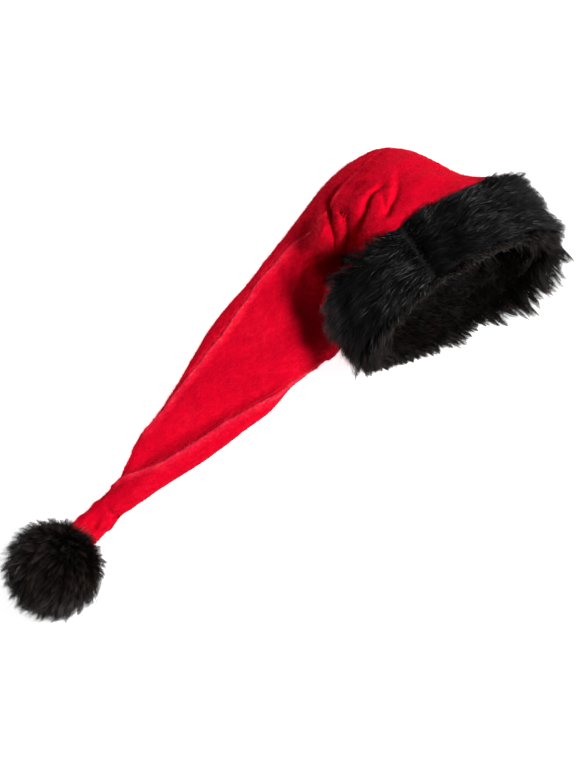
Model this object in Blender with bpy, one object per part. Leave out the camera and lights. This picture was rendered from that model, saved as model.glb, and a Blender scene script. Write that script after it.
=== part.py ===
"""A long santa hat lying on the floor: two sewn red plush panels, a black fur cuff and a black fur pompom.

Sizes in the tables are millimetres, in the hat's own layout: X runs from the pompom (low) to the cuff (high),
the head opening faces low Y, and Z is up from the floor. DATUM is the middle of the finished box.
"""

import math
import random

import bmesh
import bpy
from mathutils import Vector
from mathutils.bvhtree import BVHTree

MM = 0.001
DATUM = Vector((-48.0, 4.5, 0.0))

# Crown
WALL = 2.5
SEAM_GAP = 0.6
FRONT_COLUMNS = 18
BACK_COLUMNS = 14
LEAST_HOLLOW = 9.0

# Cuff: a folded band round an oval, with a slot in its back edge for the crown's edge
CUFF_X = 161.0
CUFF_Z = 90.0
CUFF_HALF_WIDTH = 103.0
CUFF_HALF_HEIGHT = 77.0
CUFF_THICK = 9.8
CUFF_SLOT_IN = 3.0
CUFF_SLOT_OUT = 7.0
CUFF_SLOT_DEEP = 12.0
CUFF_BAND = 64.0
CUFF_RIM_Y = -74.0
CUFF_LEAN = 0.115
CUFF_COLUMNS = 64
CUFF_OUTER_ROWS = 5
CUFF_INNER_ROWS = 4
CUFF_PILE = 14.0
CUFF_INNER_PILE = 6.0
CUFF_RIM_PILE = 13.0
CUFF_SEAM_X = 146.0

# Pompom
POMPOM = Vector((-333.5, -61.5, 47.0))
POMPOM_CORE = 38.0
POMPOM_PILE = 14.0
POMPOM_STALK = Vector((0.76, 0.42, -0.5)).normalized()
POMPOM_BALD = math.cos(math.radians(24.0))

# One row for each cross-section of the crown, from the cuff to the tip.
# far and near are the two side edges in plan, side is the height of both of them,
# z_far, z_mid and z_near are the top's heights at 0.2, 0.5 and 0.8 of the way across, base is the underside,
# top and under say how full the two halves are (1 is an ellipse, less is fuller), lean tilts the section,
# seam_a and seam_b are the seams' places round it in degrees (0 far edge, 90 top, 180 near edge, 270 underside).
SECTION_COLUMNS = (
    "far_x", "far_y", "near_x", "near_y", "side", "z_far", "z_mid", "z_near",
    "base", "top", "under", "lean", "seam_a", "seam_b", "steps",
)
SECTIONS = (
    (270.6, -11.2, 51.4, -11.2, 90.0, 156.9, 173.6, 156.9, 6.4, 1.0, 1.0, 0.115, -25, 200, 1),
    (270.6, 1.0, 51.4, 1.0, 90.0, 156.9, 173.6, 156.9, 6.4, 1.0, 1.0, 0.115, -25, 200, 1),
    (265.5, 12.0, 49.8, 7.5, 89.0, 154.0, 171.5, 147.0, 5.0, 1.0, 0.95, 0.11, -24, 199, 1),
    (252.5, 25.0, 48.3, 11.0, 86.0, 154.0, 170.0, 132.0, 3.5, 0.97, 0.85, 0.08, -22, 197, 2),
    (240.0, 36.5, 46.8, 13.0, 81.0, 153.0, 167.0, 116.0, 2.0, 0.95, 0.7, 0.05, -20, 195, 2),
    (229.5, 50.5, 45.6, 14.0, 77.0, 149.0, 162.0, 104.0, 1.0, 0.92, 0.6, 0.03, -17, 193, 3),
    (219.0, 68.0, 45.0, 14.5, 75.0, 142.0, 156.0, 94.0, 0.0, 0.9, 0.5, 0.0, -13, 192, 3),
    (208.5, 88.5, 44.5, 14.5, 72.0, 133.0, 148.0, 85.0, 0.0, 0.9, 0.5, 0.0, -9, 191, 3),
    (195.5, 105.0, 44.0, 14.0, 70.0, 124.0, 140.0, 77.0, 0.0, 0.9, 0.5, 0.0, -3, 190, 3),
    (176.0, 118.0, 43.4, 13.2, 66.0, 114.0, 130.0, 70.0, 0.0, 0.9, 0.5, 0.0, 8, 189, 3),
    (145.0, 122.0, 42.6, 12.0, 61.0, 102.0, 117.0, 62.0, 0.0, 0.9, 0.5, 0.0, 34, 188, 3),
    (114.0, 120.0, 41.6, 10.0, 53.0, 86.0, 101.0, 56.0, 0.0, 0.9, 0.5, 0.0, 48, 187, 2),
    (83.0, 113.0, 40.0, 6.5, 44.0, 67.0, 78.0, 52.0, 0.0, 0.9, 0.5, 0.0, 50, 186, 2),
    (52.0, 104.0, 38.0, 1.0, 35.0, 53.0, 59.0, 48.0, 0.0, 0.9, 0.5, 0.0, 40, 185, 2),
    (26.0, 94.5, 35.0, -8.0, 27.0, 43.0, 48.0, 44.0, 0.0, 0.85, 0.5, 0.0, 26, 184, 2),
    (0.0, 85.5, 30.0, -18.0, 21.0, 36.0, 41.0, 39.0, 0.0, 0.8, 0.45, 0.0, 22, 182, 2),
    (-21.0, 80.0, 16.0, -24.0, 18.0, 32.0, 37.0, 35.0, 0.0, 0.8, 0.45, 0.0, 34, 180, 2),
    (-46.0, 73.5, -22.0, -28.0, 16.0, 30.0, 33.5, 32.0, 0.0, 0.8, 0.45, 0.0, 43, 168, 1),
    (-70.0, 64.5, -62.0, -40.0, 15.5, 28.5, 30.5, 28.5, 0.0, 0.8, 0.45, 0.0, 44, 142, 2),
    (-105.0, 48.0, -102.0, -42.5, 15.0, 27.0, 28.5, 26.5, 0.0, 0.8, 0.45, 0.0, 37, 130, 2),
    (-147.0, 28.5, -147.0, -45.5, 14.0, 26.0, 27.5, 25.5, 0.0, 0.8, 0.45, 0.0, 21, 119, 2),
    (-180.0, 15.0, -180.0, -45.5, 14.0, 25.5, 27.0, 25.0, 0.0, 0.8, 0.45, 0.0, 5, 109, 1),
    (-201.0, 6.0, -200.0, -45.0, 14.0, 25.5, 27.0, 25.5, 0.0, 0.8, 0.45, 0.0, -18, 95, 2),
    (-221.0, -6.0, -220.0, -45.0, 14.0, 25.5, 27.0, 26.0, 0.0, 0.8, 0.45, 0.0, -55, 65, 2),
    (-236.0, -15.5, -235.0, -45.5, 13.5, 25.0, 26.5, 25.5, 0.0, 0.8, 0.45, 0.0, -98, 16, 1),
    (-252.0, -19.0, -251.0, -47.5, 13.0, 24.5, 26.0, 25.0, 0.0, 0.8, 0.45, 0.0, -132, -15, 1),
    (-274.0, -23.0, -272.0, -54.0, 14.0, 25.5, 27.5, 25.5, 0.5, 0.8, 0.5, -0.1, -150, -30, 1),
    (-295.0, -26.5, -289.5, -56.5, 17.0, 30.0, 32.0, 29.5, 3.0, 0.85, 0.6, -0.3, -162, -38, 1),
    (-304.5, -31.0, -296.5, -56.0, 23.0, 35.0, 38.0, 35.0, 10.0, 0.9, 0.8, -0.5, -168, -42, 1),
    (-307.9, -39.9, -301.7, -51.3, 28.1, 33.3, 34.6, 33.3, 21.6, 1.0, 1.0, -0.576, -170, -45, 1),
)

# One row for each fold of the top: three points in plan, how far it drops at its start and at its end
# (a minus makes a ridge) and its width.
FOLD_COLUMNS = ("x0", "y0", "x1", "y1", "x2", "y2", "drop0", "drop1", "width")
FOLDS = (
    (99.0, 80.0, 88.0, 58.0, 82.0, 42.0, 8.0, 14.0, 5.5),
    (107.0, 68.0, 110.0, 55.0, 98.0, 36.0, 6.0, 13.0, 5.0),
    (160.0, 69.0, 134.0, 53.0, 108.0, 37.0, 6.0, 18.0, 5.5),
    (172.0, 63.0, 158.0, 43.0, 146.0, 32.0, 2.0, 7.0, 5.5),
    (184.0, 104.0, 178.0, 75.0, 170.0, 56.0, 1.0, 3.5, 7.0),
    (66.0, 60.0, 71.0, 51.0, 79.0, 44.0, 8.0, 8.0, 6.0),
    (100.0, 84.0, 106.0, 98.0, 130.0, 106.0, 6.0, 3.0, 5.0),
    (124.0, 34.0, 104.0, 27.0, 84.0, 22.0, 5.0, 10.0, 8.0),
    (-224.0, -10.0, -150.0, -15.0, -58.0, -19.0, 3.0, 5.0, 6.5),
    (-232.0, -18.0, -156.0, -28.0, -48.0, -31.0, -1.0, -2.0, 5.0),
    (119.0, 80.0, 108.0, 60.0, 100.0, 48.0, -2.0, -4.0, 6.0),
    (84.0, 76.0, 77.0, 62.0, 72.0, 56.0, -2.0, -5.0, 7.0),
    (150.0, 84.0, 136.0, 68.0, 124.0, 54.0, -2.0, -3.0, 8.0),
)


def place(point):
    """A layout point in millimetres as a point of the model in metres."""
    return (point - DATUM) * MM


def spline(before, start, end, after, t):
    """A smooth curve through start and end, t from 0 to 1."""
    return 0.5 * (
        2.0 * start
        + (end - before) * t
        + (2.0 * before - 5.0 * start + 4.0 * end - after) * t * t
        + (3.0 * start - before - 3.0 * end + after) * t * t * t
    )


def sections():
    """The sections as dictionaries, with those between the rows filled in."""
    rows = []
    last = len(SECTIONS) - 1
    for index in range(last):
        before = SECTIONS[max(index - 1, 0)]
        start = SECTIONS[index]
        end = SECTIONS[index + 1]
        after = SECTIONS[min(index + 2, last)]
        steps = start[-1]
        for step in range(steps):
            t = step / steps
            mixed = [spline(a, b, c, d, t) for a, b, c, d in zip(before, start, end, after)]
            rows.append(dict(zip(SECTION_COLUMNS, mixed)))
    rows.append(dict(zip(SECTION_COLUMNS, SECTIONS[last])))
    return rows


def ease(t):
    t = min(max(t, 0.0), 1.0)
    return t * t * (3.0 - 2.0 * t)


def top_height(row, across, rise):
    """Height of the smooth top of a section, across from 0 to 1, rise the sine round it."""
    full = 0.8 ** row["top"]
    far = (row["z_far"] - row["side"]) / full
    mid = row["z_mid"] - row["side"]
    near = (row["z_near"] - row["side"]) / full
    if across < 0.5:
        reach = far + (mid - far) * ease((across - 0.2) / 0.3)
    else:
        reach = mid + (near - mid) * ease((across - 0.5) / 0.3)
    return row["side"] + reach * rise ** row["top"]


def distance_along(x, y, fold):
    """How far a plan point lies from a fold's line, and how far along it the nearest point is."""
    best = (1e9, 0.0)
    for part in range(2):
        x0 = fold["x%d" % part]
        y0 = fold["y%d" % part]
        dx = fold["x%d" % (part + 1)] - x0
        dy = fold["y%d" % (part + 1)] - y0
        t = ((x - x0) * dx + (y - y0) * dy) / (dx * dx + dy * dy)
        t = min(max(t, 0.0), 1.0)
        away = math.hypot(x - x0 - t * dx, y - y0 - t * dy)
        best = min(best, (away, (part + t) / 2.0))
    return best


def fold_drop(x, y):
    total = 0.0
    for values in FOLDS:
        fold = dict(zip(FOLD_COLUMNS, values))
        away, along = distance_along(x, y, fold)
        drop = fold["drop0"] + (fold["drop1"] - fold["drop0"]) * along
        total += drop * math.exp(-((away / fold["width"]) ** 1.6))
    return total


def crown_point(row, degrees):
    """A point of the crown's outer face, in layout millimetres."""
    turn = math.radians(degrees)
    across = (1.0 - math.cos(turn)) / 2.0
    rise = abs(math.sin(turn))
    x = row["far_x"] + (row["near_x"] - row["far_x"]) * across
    y = row["far_y"] + (row["near_y"] - row["far_y"]) * across
    if math.sin(turn) >= 0.0:
        z = top_height(row, across, rise) - fold_drop(x, y) * ease(rise / 0.45)
        z = max(z, min(row["side"], row["base"] + LEAST_HOLLOW) + 1.5 * rise)
    else:
        press = 1.0 + 0.12 * (1.0 - row["under"])
        z = row["side"] - (row["side"] - row["base"]) * press * rise ** row["under"]
        z = max(z, row["base"], 0.0)
    wide_x = row["near_x"] - row["far_x"]
    wide_y = row["near_y"] - row["far_y"]
    width = math.hypot(wide_x, wide_y)
    shift = row["lean"] * (z - row["side"])
    return Vector((x + wide_y / width * shift, y - wide_x / width * shift, z))


def crown_faces():
    """Outer and inner points of the crown, all the way round, and the first column of the back panel."""
    outer = []
    for row in sections():
        front = (row["seam_b"] - row["seam_a"]) / FRONT_COLUMNS
        back = (360.0 - row["seam_b"] + row["seam_a"]) / BACK_COLUMNS
        turns = [row["seam_a"] + front * i for i in range(FRONT_COLUMNS)]
        turns += [row["seam_b"] + back * i for i in range(BACK_COLUMNS)]
        outer.append([crown_point(row, turn) for turn in turns])
    columns = FRONT_COLUMNS + BACK_COLUMNS
    inner = []
    for i, ring in enumerate(outer):
        ahead = outer[min(i + 1, len(outer) - 1)]
        behind = outer[max(i - 1, 0)]
        inner.append([])
        for j, point in enumerate(ring):
            along = ahead[j] - behind[j]
            around = ring[(j + 1) % columns] - ring[j - 1]
            normal = around.cross(along).normalized()
            inner[i].append(point + normal * WALL)
    return outer, inner


def pulled_in(line):
    """The line with each end drawn back by half the seam's gap."""
    line = list(line)
    line[0] = line[0] + (line[1] - line[0]).normalized() * SEAM_GAP / 2.0
    line[-1] = line[-1] + (line[-2] - line[-1]).normalized() * SEAM_GAP / 2.0
    return line


def make_object(name, points, faces, material):
    mesh = bpy.data.meshes.new(name)
    mesh.from_pydata([place(point) for point in points], [], faces)
    work = bmesh.new()
    work.from_mesh(mesh)
    bmesh.ops.recalc_face_normals(work, faces=work.faces)
    bmesh.ops.triangulate(work, faces=work.faces)
    if work.calc_volume(signed=True) < 0.0:
        bmesh.ops.reverse_faces(work, faces=work.faces)
    work.to_mesh(mesh)
    work.free()
    mesh.materials.append(material)
    obj = bpy.data.objects.new(name, mesh)
    bpy.context.scene.collection.objects.link(obj)
    return obj


def crown_panel(name, outer, inner, first, count, material):
    """A closed wall over some of the crown's columns."""
    columns = FRONT_COLUMNS + BACK_COLUMNS
    pick = [(first + j) % columns for j in range(count + 1)]
    points = []
    for i in range(len(outer)):
        points += pulled_in([outer[i][j] for j in pick])
        points += pulled_in([inner[i][j] for j in pick])
    wide = count + 1
    faces = []

    def at(i, j, inside):
        return i * 2 * wide + inside * wide + j

    for i in range(len(outer) - 1):
        for j in range(count):
            faces.append((at(i, j, 0), at(i + 1, j, 0), at(i + 1, j + 1, 0), at(i, j + 1, 0)))
            faces.append((at(i, j, 1), at(i, j + 1, 1), at(i + 1, j + 1, 1), at(i + 1, j, 1)))
        faces.append((at(i, 0, 0), at(i, 0, 1), at(i + 1, 0, 1), at(i + 1, 0, 0)))
        faces.append((at(i, count, 0), at(i + 1, count, 0), at(i + 1, count, 1), at(i, count, 1)))
    end = len(outer) - 1
    for j in range(count):
        faces.append((at(0, j, 0), at(0, j + 1, 0), at(0, j + 1, 1), at(0, j, 1)))
        faces.append((at(end, j, 0), at(end, j, 1), at(end, j + 1, 1), at(end, j + 1, 0)))
    return make_object(name, points, faces, material)


def cuff_point(turn, out, along):
    """A point of the cuff: turn round the oval, out from its inner face, along from the rim."""
    normal = Vector((CUFF_HALF_HEIGHT * math.cos(turn), 0.0, CUFF_HALF_WIDTH * math.sin(turn)))
    normal.normalize()
    x = CUFF_X + CUFF_HALF_WIDTH * math.cos(turn) + out * normal.x
    z = CUFF_Z + CUFF_HALF_HEIGHT * math.sin(turn) + out * normal.z
    return Vector((x, CUFF_RIM_Y + CUFF_LEAN * z + along, z)), normal


def cuff_profile():
    """(out, along, kind of face up to the next point) once round the band's section."""
    profile = [(0.0, 3.0, "rim_in"), (CUFF_THICK / 2.0, -1.5, "rim_out")]
    step = (CUFF_BAND - 3.0) / CUFF_OUTER_ROWS
    profile += [(CUFF_THICK, 3.0 + step * i, "outer%d" % i) for i in range(CUFF_OUTER_ROWS)]
    profile.append((CUFF_THICK, CUFF_BAND, "plain"))
    profile.append((CUFF_SLOT_OUT, CUFF_BAND, "plain"))
    profile.append((CUFF_SLOT_OUT, CUFF_BAND - CUFF_SLOT_DEEP, "plain"))
    profile.append((CUFF_SLOT_IN, CUFF_BAND - CUFF_SLOT_DEEP, "plain"))
    profile.append((CUFF_SLOT_IN, CUFF_BAND, "plain"))
    step = (CUFF_BAND - 3.0) / CUFF_INNER_ROWS
    profile += [(0.0, CUFF_BAND - step * i, "inner") for i in range(CUFF_INNER_ROWS)]
    return profile


def lock_vector(kind, turn, middle, normal, chance):
    """Where a lock of the cuff's fur points, and how long it is."""
    forward = Vector((0.0, -1.0, 0.0))
    flow = Vector((CUFF_HALF_WIDTH * math.sin(turn), 0.0, -CUFF_HALF_HEIGHT * math.cos(turn)))
    flow.normalize()
    vary = 0.82 + 0.36 * chance
    if kind == "inner":
        return (forward * 0.6 - normal) * CUFF_INNER_PILE * vary
    if kind == "rim_in":
        return (forward - normal * 0.35 + flow * 0.2) * CUFF_RIM_PILE * 0.8 * vary
    if kind == "rim_out":
        low = ease((125.0 - middle.z) / 90.0) * ease(1.3 - abs(middle.x - 230.0) / 105.0)
        return (forward + normal * 0.5 + flow * 0.3) * (CUFF_RIM_PILE + 11.0 * low) * vary
    row = int(kind[-1])
    swing = math.radians((48.0, 34.0, 24.0, 16.0, 10.0)[row])
    lean = flow * math.cos(swing) + forward * math.sin(swing)
    return (normal + lean * 0.75) * CUFF_PILE * vary


def clear_of(tree, foot, vector, room):
    """The vector, shortened so that a tapered lock along it stays off the other pieces and the floor."""
    if vector.z < 0.0:
        vector = vector * min(1.0, max(foot.z, 0.0) / -vector.z)
    for part in (0.25, 0.45, 0.65, 0.85, 1.0):
        spot = place(foot + vector * part)
        found = tree.find_nearest(spot)
        if found[3] < (room * (1.0 - part) + 1.2) * MM:
            return vector * max(part - 0.25, 0.03)
    return vector


def fur_cuff(tree, material):
    chance = random.Random(11)
    profile = cuff_profile()
    deep = len(profile)
    points = []
    faces = []
    for column in range(CUFF_COLUMNS):
        turn = 2.0 * math.pi * column / CUFF_COLUMNS
        points += [cuff_point(turn, out, along)[0] for out, along, _ in profile]
    for column in range(CUFF_COLUMNS):
        following = (column + 1) % CUFF_COLUMNS
        turn = 2.0 * math.pi * (column + 0.5) / CUFF_COLUMNS
        for row, (_, _, kind) in enumerate(profile):
            nearby = (row + 1) % deep
            corners = (
                column * deep + row, column * deep + nearby,
                following * deep + nearby, following * deep + row,
            )
            if kind == "plain":
                faces.append(corners)
                continue
            middle = sum((points[corner] for corner in corners), Vector()) / 4.0
            normal = cuff_point(turn, 0.0, 0.0)[1]
            vector = lock_vector(kind, turn, middle, normal, chance.random())
            parting = abs(middle.x - CUFF_SEAM_X) < 5.0 and middle.z > CUFF_Z and kind != "inner"
            if parting:
                vector = vector * 0.35
            vector = clear_of(tree, middle, vector, 5.0)
            tip = len(points)
            points.append(middle + vector)
            for corner in range(4):
                faces.append((corners[corner], corners[(corner + 1) % 4], tip))
    return make_object("fur_cuff", points, faces, material)


def pompom(tree, material):
    chance = random.Random(5)
    ball = bmesh.new()
    bmesh.ops.create_icosphere(ball, subdivisions=3, radius=POMPOM_CORE)
    points = [POMPOM + vertex.co for vertex in ball.verts]
    faces = []
    for face in ball.faces:
        corners = [vertex.index for vertex in face.verts]
        out = face.calc_center_median().normalized()
        if out.dot(POMPOM_STALK) > POMPOM_BALD:
            faces.append(tuple(corners))
            continue
        middle = POMPOM + face.calc_center_median()
        combed = out * out.dot(POMPOM_STALK) - POMPOM_STALK
        vector = (out + combed * 0.3) * POMPOM_PILE * (0.85 + 0.3 * chance.random())
        vector = clear_of(tree, middle, vector, 4.0)
        tip = len(points)
        points.append(middle + vector)
        for corner in range(3):
            faces.append((corners[corner], corners[(corner + 1) % 3], tip))
    ball.free()
    return make_object("pompom", points, faces, material)


def material(name, color, roughness):
    made = bpy.data.materials.new(name)
    made.use_nodes = True
    shader = made.node_tree.nodes["Principled BSDF"]
    shader.inputs["Base Color"].default_value = (*color, 1.0)
    shader.inputs["Roughness"].default_value = roughness
    return made


def tree_of(objects):
    points = []
    faces = []
    for obj in objects:
        start = len(points)
        points += [vertex.co.copy() for vertex in obj.data.vertices]
        faces += [tuple(start + i for i in face.vertices) for face in obj.data.polygons]
    return BVHTree.FromPolygons(points, faces)


def main():
    for obj in list(bpy.data.objects):
        bpy.data.objects.remove(obj, do_unlink=True)
    outer, inner = crown_faces()
    red_front = material("front_plush", (0.62, 0.004, 0.02), 0.85)
    red_back = material("back_plush", (0.58, 0.004, 0.02), 0.85)
    front = crown_panel("crown_front_panel", outer, inner, 0, FRONT_COLUMNS, red_front)
    back = crown_panel("crown_back_panel", outer, inner, FRONT_COLUMNS, BACK_COLUMNS, red_back)
    tree = tree_of([front, back])
    fur_cuff(tree, material("cuff_fur", (0.012, 0.011, 0.012), 0.7))
    pompom(tree, material("pompom_fur", (0.012, 0.011, 0.012), 0.7))


main()
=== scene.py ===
"""The looks of the santa hat: fine crown panels, velvet pile, and the fur of the cuff and the pompom.

The section table follows that of the part's source, with outlines corrected by up to a centimetre and
the far seam higher up, and the folds are finer and deeper here. Both are millimetres in the hat's own
layout: X from the pompom to the cuff, the head opening faces low Y, Z up. DATUM is the middle of the
hat's box.
"""

import math

import bmesh
import bpy
import numpy as np
from mathutils import Matrix, Vector, kdtree


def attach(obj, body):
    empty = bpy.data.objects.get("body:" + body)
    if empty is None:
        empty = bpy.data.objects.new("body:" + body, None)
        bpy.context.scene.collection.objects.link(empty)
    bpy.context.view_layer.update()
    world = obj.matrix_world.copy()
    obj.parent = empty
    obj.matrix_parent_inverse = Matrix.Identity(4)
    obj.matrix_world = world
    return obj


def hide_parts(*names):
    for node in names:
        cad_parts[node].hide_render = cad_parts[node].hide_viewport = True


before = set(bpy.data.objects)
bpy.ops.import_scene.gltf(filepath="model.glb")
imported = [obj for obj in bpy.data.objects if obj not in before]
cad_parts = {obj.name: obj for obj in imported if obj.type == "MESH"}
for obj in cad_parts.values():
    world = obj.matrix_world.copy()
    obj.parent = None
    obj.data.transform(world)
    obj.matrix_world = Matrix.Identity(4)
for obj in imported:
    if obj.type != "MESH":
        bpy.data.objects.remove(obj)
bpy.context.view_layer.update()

MM = 0.001
DATUM = np.array((-48.0, 4.5, 0.0))
SEED = 2024

# Crown
WALL = 2.5
SEAM_GAP = 0.06
FINE_STEP = 1.45
COARSE_STEP = 3.0
LAST_FINE_SECTION = 15
FRONT_COLUMNS = 150
BACK_COLUMNS = 70
LEAST_HOLLOW = 9.0
PILE_EDGE = 20.0
CRINKLE_PLACE = np.array((156.0, 60.0))
CRINKLE_REACH = 15.0

# Nap of the plush, in strands and millimetres
FRONT_NAP = 62000
BACK_NAP = 28000
NAP_LENGTH = 2.4
NAP_WIDTH = 0.34
NAP_FIRST_ROW = 12
NAP_SEAM_REACH = 5.0
NAP_SEAM_EXTRA = 2.2

# Fur: the share of long strands that stand alone, the share of strands that lead a tuft and how strongly
# the others are drawn to them
LONE_SHARE = 0.07
LONE_LONGER = 1.12
LONG_LONGER = 1.16
SHORT_SHORTER = 0.74
LOOSE_TUFTS = (0.05, 0.5)
WIDE_TUFTS = (0.004, 0.22)

# Floor and light
FLOOR_REACH = 12.0
FLOOR_DROP = 0.0002
FLOOR_GLOW = 0.94
WORLD_GLOW = 0.045
KEY_PLACE = (1.02, -0.86, 2.2)
KEY_AIM = (0.05, 0.0, 0.05)
KEY_SIZE = 0.45
KEY_POWER = 94.0
TOP_PLACE = (0.9, 0.2, 2.7)
TOP_AIM = (0.0, 0.0, 0.0)
TOP_SIZE = 2.0
TOP_POWER = 4.0

# Camera
CAMERA_ELEVATION = math.radians(78.0)
CAMERA_ROLL = math.radians(33.0)
CAMERA_DISTANCE = 2.5
CAMERA_TARGET = np.array((-30.0, -23.1, 0.0))
CAMERA_LENS = 111.6

# Cuff
CUFF_X = 161.0
CUFF_Z = 90.0
CUFF_HALF_WIDTH = 103.0
CUFF_HALF_HEIGHT = 77.0
CUFF_THICK = 9.8
CUFF_BAND = 64.0
CUFF_RIM_Y = -74.0
CUFF_LEAN = 0.115
CUFF_SLOT_IN = 3.0
CUFF_SLOT_OUT = 7.0
CUFF_SLOT_DEEP = 12.0
CUFF_SEAM_TURN = math.radians(98.0)
CUFF_PARTED_TURN = math.radians(222.0)
CUFF_INSIDE_PILE = 14.0
CUFF_INSIDE_RIM_PILE = 8.0

# Pompom
POMPOM = np.array((-333.5, -61.5, 47.0))
POMPOM_CORE = 37.0
POMPOM_PILE = 20.0
POMPOM_FAR_PILE = 4.0
POMPOM_BARE_TURN = math.radians(16.0)
POMPOM_STALK = np.array((0.76, 0.42, -0.5)) / np.linalg.norm((0.76, 0.42, -0.5))

SECTION_COLUMNS = (
    "far_x", "far_y", "near_x", "near_y", "side", "z_far", "z_mid", "z_near",
    "base", "top", "under", "lean", "seam_a", "seam_b",
)
SECTIONS = (
    (270.6, -11.2, 51.4, -11.2, 90.0, 156.9, 173.6, 156.9, 6.4, 1.0, 1.0, 0.115, -25, 200),
    (270.6, 1.0, 51.4, 1.0, 90.0, 156.9, 173.6, 156.9, 6.4, 1.0, 1.0, 0.115, -25, 200),
    (265.0, 10.5, 49.8, 7.5, 89.0, 154.0, 171.5, 147.0, 5.0, 1.0, 0.95, 0.11, -24, 199),
    (250.5, 21.5, 48.3, 11.0, 86.0, 154.0, 170.0, 132.0, 3.5, 0.97, 0.85, 0.08, -22, 197),
    (239.0, 34.5, 46.8, 13.0, 81.0, 153.0, 167.0, 116.0, 2.0, 0.95, 0.7, 0.05, -20, 195),
    (229.5, 50.5, 45.6, 14.0, 77.0, 149.0, 162.0, 104.0, 1.0, 0.92, 0.6, 0.03, -17, 193),
    (220.0, 69.5, 45.0, 14.5, 75.0, 142.0, 156.0, 94.0, 0.0, 0.9, 0.5, 0.0, -13, 192),
    (209.9, 90.7, 44.5, 14.5, 72.0, 133.0, 148.0, 85.0, 0.0, 0.9, 0.5, 0.0, -9, 191),
    (195.5, 105.0, 44.0, 14.0, 70.0, 124.0, 140.0, 77.0, 0.0, 0.9, 0.5, 0.0, 0, 190),
    (176.0, 118.0, 43.4, 13.2, 66.0, 114.0, 130.0, 70.0, 0.0, 0.9, 0.5, 0.0, 46, 189),
    (145.0, 122.0, 42.6, 12.0, 61.0, 102.0, 117.0, 62.0, 0.0, 0.9, 0.5, 0.0, 63, 188),
    (114.0, 120.0, 41.6, 10.0, 53.0, 86.0, 101.0, 56.0, 0.0, 0.9, 0.5, 0.0, 71, 187),
    (83.0, 113.0, 44.0, 6.0, 44.0, 67.0, 78.0, 52.0, 0.0, 0.9, 0.5, 0.0, 62, 186),
    (52.0, 104.0, 45.5, 0.0, 35.0, 53.0, 59.0, 48.0, 0.0, 0.9, 0.5, 0.0, 46, 185),
    (25.5, 96.0, 44.0, -11.0, 27.0, 43.0, 48.0, 44.0, 0.0, 0.85, 0.5, 0.0, 38, 184),
    (-0.8, 88.4, 36.0, -21.5, 21.0, 36.0, 41.0, 39.0, 0.0, 0.8, 0.45, 0.0, 32, 182),
    (-22.3, 83.2, 16.5, -26.5, 18.0, 32.0, 37.0, 35.0, 0.0, 0.8, 0.45, 0.0, 38, 180),
    (-47.4, 76.7, -22.0, -29.0, 16.0, 30.0, 33.5, 32.0, 0.0, 0.8, 0.45, 0.0, 45, 168),
    (-71.1, 67.1, -62.0, -40.0, 15.5, 28.5, 30.5, 28.5, 0.0, 0.8, 0.45, 0.0, 45, 142),
    (-105.5, 49.4, -102.0, -42.5, 15.0, 27.0, 28.5, 26.5, 0.0, 0.8, 0.45, 0.0, 37, 130),
    (-147.0, 28.5, -147.0, -45.5, 14.0, 26.0, 27.5, 25.5, 0.0, 0.8, 0.45, 0.0, 21, 119),
    (-180.0, 15.0, -180.0, -45.5, 14.0, 25.5, 27.0, 25.0, 0.0, 0.8, 0.45, 0.0, 5, 109),
    (-201.0, 6.0, -200.0, -45.0, 14.0, 25.5, 27.0, 25.5, 0.0, 0.8, 0.45, 0.0, -18, 95),
    (-221.0, -6.0, -220.0, -45.0, 14.0, 25.5, 27.0, 26.0, 0.0, 0.8, 0.45, 0.0, -55, 65),
    (-236.0, -15.5, -235.0, -45.5, 13.5, 25.0, 26.5, 25.5, 0.0, 0.8, 0.45, 0.0, -98, 16),
    (-252.0, -19.0, -251.0, -46.5, 13.0, 24.5, 26.0, 25.0, 0.0, 0.8, 0.45, 0.0, -132, -15),
    (-274.0, -23.0, -271.5, -52.0, 14.0, 25.5, 27.5, 25.5, 0.5, 0.8, 0.5, -0.1, -150, -30),
    (-295.0, -26.5, -289.0, -55.0, 17.0, 30.0, 32.0, 29.5, 3.0, 0.85, 0.6, -0.3, -162, -38),
    (-304.5, -31.0, -296.5, -56.0, 23.0, 35.0, 38.0, 35.0, 10.0, 0.9, 0.8, -0.5, -168, -42),
    (-307.9, -39.9, -301.7, -51.3, 28.1, 33.3, 34.6, 33.3, 21.6, 1.0, 1.0, -0.576, -170, -45),
)

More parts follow.
